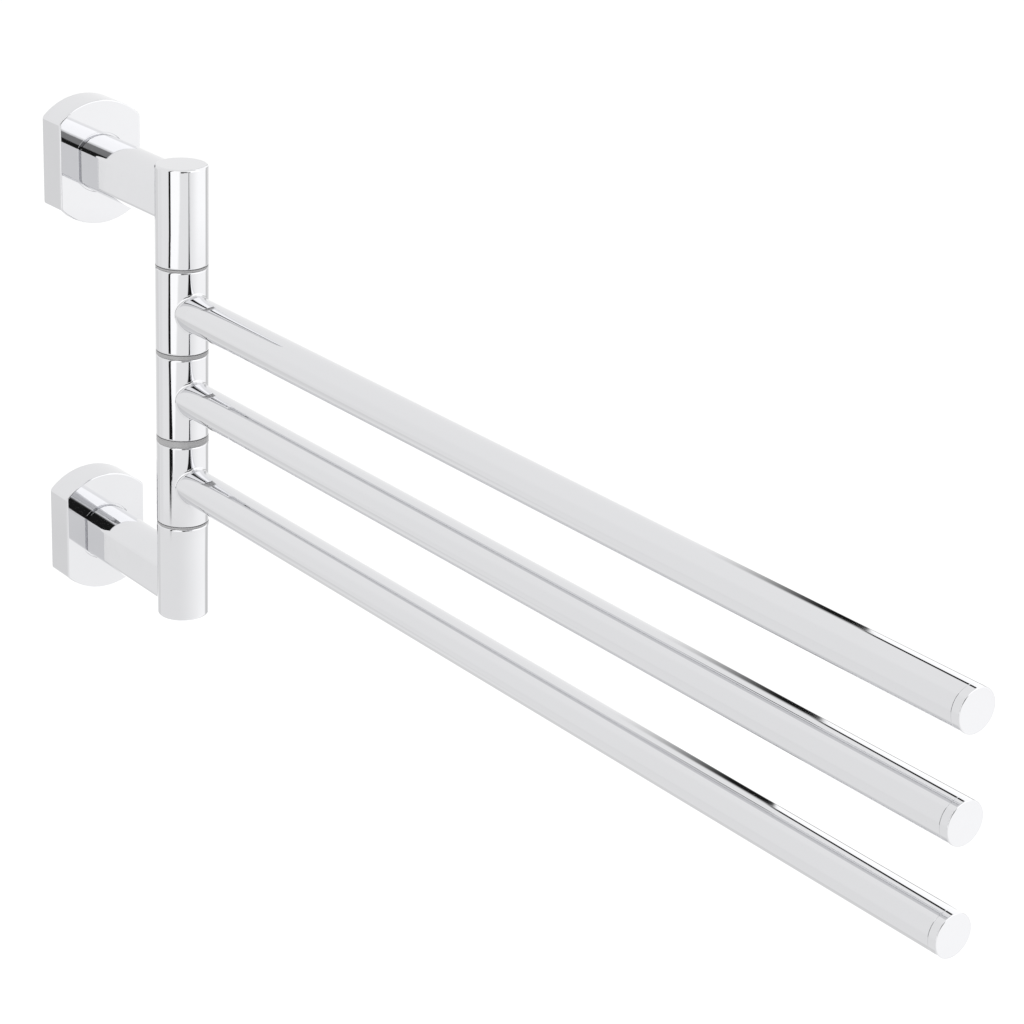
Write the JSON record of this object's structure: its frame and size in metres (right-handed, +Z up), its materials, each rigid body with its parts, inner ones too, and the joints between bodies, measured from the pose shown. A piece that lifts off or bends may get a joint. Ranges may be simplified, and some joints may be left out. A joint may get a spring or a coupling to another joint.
{
  "type": "swing arm towel bar",
  "caption": "Wall-mounted towel rack: polished chrome bars that swing one by one on an upright post, which two short arms hold between rounded wall flanges.",
  "frame": {"origin": "on the wall's plane, half way between the two wall flanges", "axes": "+Z up, +Y into the wall, so the object stands out of it towards -Y, +X to the right seen from the front"},
  "size_m": [0.0348, 0.49, 0.2014],
  "materials": {
    "polished_chrome": "polished chrome plate",
    "plate_zinc": "zinc-plated steel, dull",
    "screw_steel": "bright steel",
    "grey_bush": "grey acetal, fine matt",
    "friction_grey": "grey nylon, matt",
    "plug_plastic": "silver-coated plastic"
  },
  "bodies": {
    "wall_frame": {"upper_wall_plate": "plate_zinc", "upper_flange_cover": "polished_chrome", "upper_bracket_arm": "polished_chrome", "lower_wall_plate": "plate_zinc", "lower_flange_cover": "polished_chrome", "lower_bracket_arm": "polished_chrome", "arm_screws": "screw_steel", "grub_screws": "screw_steel", "spindle": "screw_steel", "spindle_lock_washer": "screw_steel", "spindle_nut": "screw_steel", "post_end_plug": "plug_plastic", "friction_washer": "friction_grey"},
    "top_bar": {"top_hub": "polished_chrome", "top_hub_upper_bush": "grey_bush", "top_hub_lower_bush": "grey_bush", "top_bar_spigot": "screw_steel", "top_bar_tube": "polished_chrome", "top_bar_end_cap": "polished_chrome"},
    "middle_bar": {"middle_hub": "polished_chrome", "middle_hub_upper_bush": "grey_bush", "middle_hub_lower_bush": "grey_bush", "middle_bar_spigot": "screw_steel", "middle_bar_tube": "polished_chrome", "middle_bar_end_cap": "polished_chrome"},
    "bottom_bar": {"bottom_hub": "polished_chrome", "bottom_hub_upper_bush": "grey_bush", "bottom_hub_lower_bush": "grey_bush", "bottom_bar_spigot": "screw_steel", "bottom_bar_tube": "polished_chrome", "bottom_bar_end_cap": "polished_chrome"}
  },
  "joints": [
    {"name": "top_bar_swing", "type": "hinge", "parent": "wall_frame", "child": "top_bar", "pos_m": [0, -0.074, 0.0345], "axis": [0, 0, 1], "range_deg": [-99, 99]},
    {"name": "middle_bar_swing", "type": "hinge", "parent": "wall_frame", "child": "middle_bar", "pos_m": [0, -0.074, 0.0005], "axis": [0, 0, 1], "range_deg": [-99, 99]},
    {"name": "bottom_bar_swing", "type": "hinge", "parent": "wall_frame", "child": "bottom_bar", "pos_m": [0, -0.074, -0.0345], "axis": [0, 0, 1], "range_deg": [-99, 99]}
  ]
}
